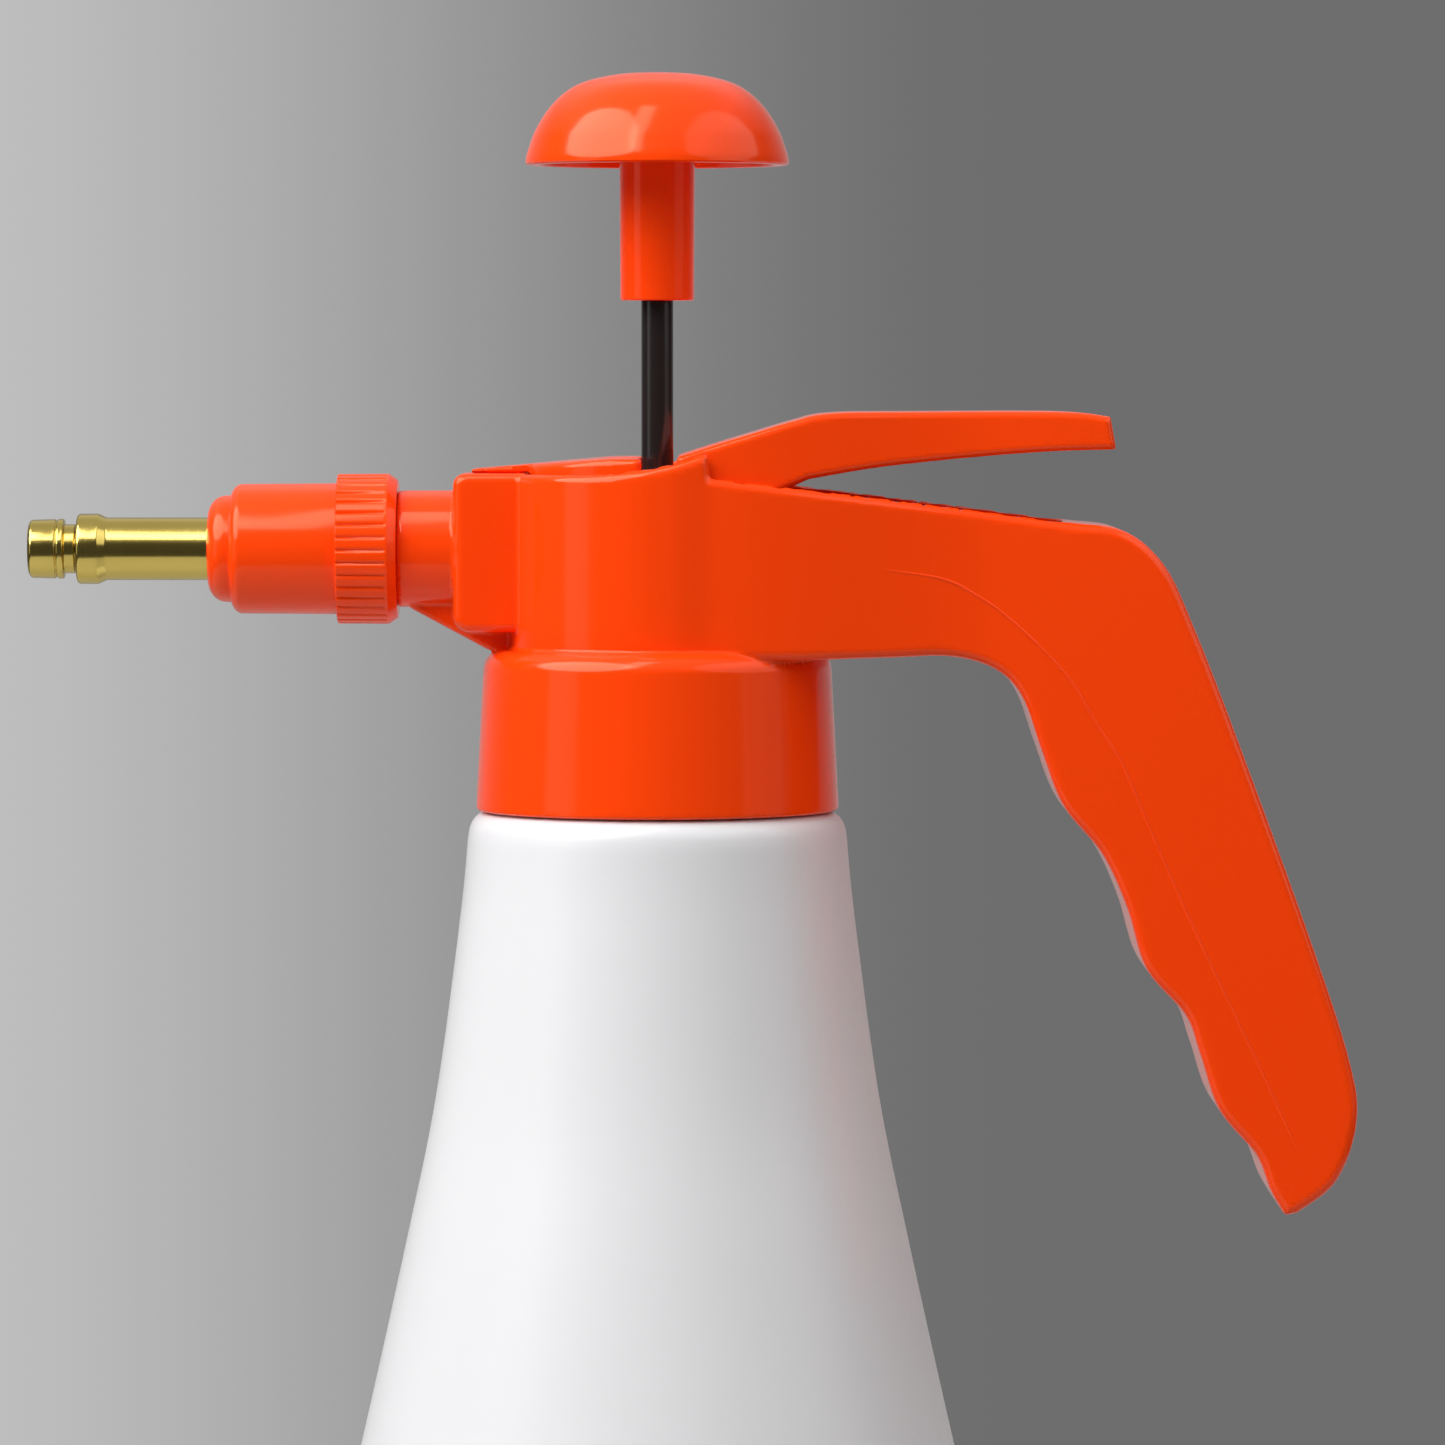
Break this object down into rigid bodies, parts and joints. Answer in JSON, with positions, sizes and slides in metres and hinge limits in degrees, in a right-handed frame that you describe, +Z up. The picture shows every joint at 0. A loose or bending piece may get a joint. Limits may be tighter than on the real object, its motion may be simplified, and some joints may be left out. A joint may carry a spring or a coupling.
{
  "type": "pump sprayer",
  "caption": "Hand pressure sprayer: flared white bottle, orange screw-on head with pistol grip and thumb lever, plunger pump with round knob, and a brass lance.",
  "frame": {"origin": "on the pump's axis, in the plane of the bottle's flat base", "axes": "+Z up along the pump's axis, -X along the spray from the nozzle, +X towards the grip"},
  "size_m": [0.205, 0.124, 0.3444],
  "materials": {
    "orange_plastic": "gloss, moulded",
    "bottle_plastic": "satin, blow moulded, slightly translucent",
    "natural_plastic": "natural, satin",
    "black_plastic": "matte, moulded",
    "rod_plastic": "high gloss black",
    "black_rubber": "matte",
    "brass": "turned, bright",
    "steel": "bright drawn"
  },
  "bodies": {
    "bottle": {"bottle": "bottle_plastic"},
    "neck_seal": {"neck_gasket": "black_rubber"},
    "head": {"head_housing": "orange_plastic", "lever_pin": "steel", "valve_gland": "black_plastic", "valve_spring": "steel", "pump_barrel": "natural_plastic", "barrel_seal": "black_rubber", "rod_guide": "black_plastic", "valve_cage": "natural_plastic", "dip_tube": "natural_plastic", "dip_strainer": "black_plastic"},
    "lever": {"trigger_lever": "orange_plastic"},
    "valve": {"valve_stem": "steel", "valve_seal": "black_rubber", "stem_clip": "steel"},
    "lance": {"brass_lance": "brass", "lance_seal": "black_rubber"},
    "nozzle_nut": {"nozzle_cap": "orange_plastic"},
    "tip_ring": {"tip_seal": "black_rubber"},
    "tip": {"nozzle_tip": "brass", "swirl_core": "steel"},
    "pump": {"pump_knob": "orange_plastic", "pump_rod": "rod_plastic", "piston": "black_plastic", "piston_ring": "black_rubber", "piston_nut": "steel"},
    "flap": {"check_valve": "black_rubber"}
  },
  "joints": [
    {"name": "head_lift", "type": "slide", "parent": "bottle", "child": "neck_seal", "axis": [0, 0, 1], "range_m": [0, 0.0104]},
    {"name": "head_turn", "type": "hinge", "parent": "neck_seal", "child": "head", "pos_m": [0, 0, 0.2303], "axis": [0, 0, 1], "range_deg": [0, 936]},
    {"name": "lever_press", "type": "hinge", "parent": "head", "child": "lever", "pos_m": [-0.0184, 0, 0.2618], "axis": [0, 1, 0], "range_deg": [0, 6], "stiffness_Nm_per_rad": 3, "springref_deg": -5.73},
    {"name": "valve_pull", "type": "slide", "parent": "head", "child": "valve", "axis": [1, 0, 0], "range_m": [0, 0.00095], "deforming": ["valve_spring"]},
    {"name": "pump_slide", "type": "slide", "parent": "head", "child": "pump", "axis": [0, 0, 1], "range_m": [-0.038, 0]},
    {"name": "flap_lift", "type": "slide", "parent": "head", "child": "flap", "axis": [0, 0, -1], "range_m": [0, 0.0015], "stiffness_N_per_m": 40, "springref_m": -0.0005},
    {"name": "lance_advance", "type": "slide", "parent": "head", "child": "lance", "axis": [-1, 0, 0], "range_m": [0, 0.008]},
    {"name": "nozzle_cap_turn", "type": "hinge", "parent": "lance", "child": "nozzle_nut", "pos_m": [-0.055, 0, 0.2708], "axis": [-1, 0, 0], "range_deg": [0, 1440]},
    {"name": "tip_travel", "type": "slide", "parent": "lance", "child": "tip_ring", "axis": [-1, 0, 0], "range_m": [0, 0.00112]},
    {"name": "tip_turn", "type": "hinge", "parent": "tip_ring", "child": "tip", "pos_m": [-0.094, 0, 0.2708], "axis": [-1, 0, 0], "range_deg": [0, 540]}
  ],
  "couplings": [
    {"joint": "head_lift", "follows": "head_turn", "m_per_rad": 0.00063662},
    {"joint": "valve_pull", "follows": "lever_press", "m_per_rad": 0.009},
    {"joint": "nozzle_cap_turn", "follows": "lance_advance", "rad_per_m": 3141.6},
    {"joint": "tip_turn", "follows": "tip_travel", "rad_per_m": 8377.6}
  ]
}
